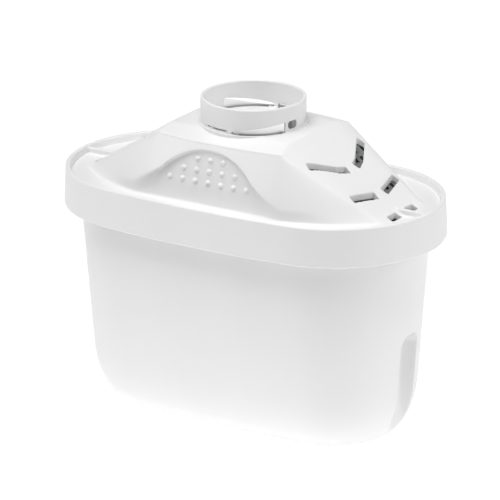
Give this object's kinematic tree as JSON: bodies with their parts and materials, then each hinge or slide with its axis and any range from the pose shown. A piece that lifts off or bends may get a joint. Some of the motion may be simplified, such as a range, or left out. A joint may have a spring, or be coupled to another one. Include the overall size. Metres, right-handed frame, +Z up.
{
  "type": "carbon water filter cartridge",
  "caption": "Oval water filter cartridge: tapered cup, domed lid with slotted end slopes, finger grips with bumps and a pull ring, granule bed and screens inside.",
  "frame": {"origin": "on the surface the cartridge stands on, under the middle of its oval outline", "axes": "+Z up, +X along the cartridge's length, Y across it"},
  "size_m": [0.105, 0.0592, 0.0849],
  "materials": {
    "shell": "satin white polypropylene",
    "mesh": "fine woven screen",
    "granules": "loose black carbon granules with amber resin beads"
  },
  "bodies": {
    "root": {"cup": "shell", "lid": "shell", "inlet_screen_left": "mesh", "inlet_screen_right": "mesh", "outlet_screen": "mesh", "filter_bed": "granules"}
  },
  "joints": []
}
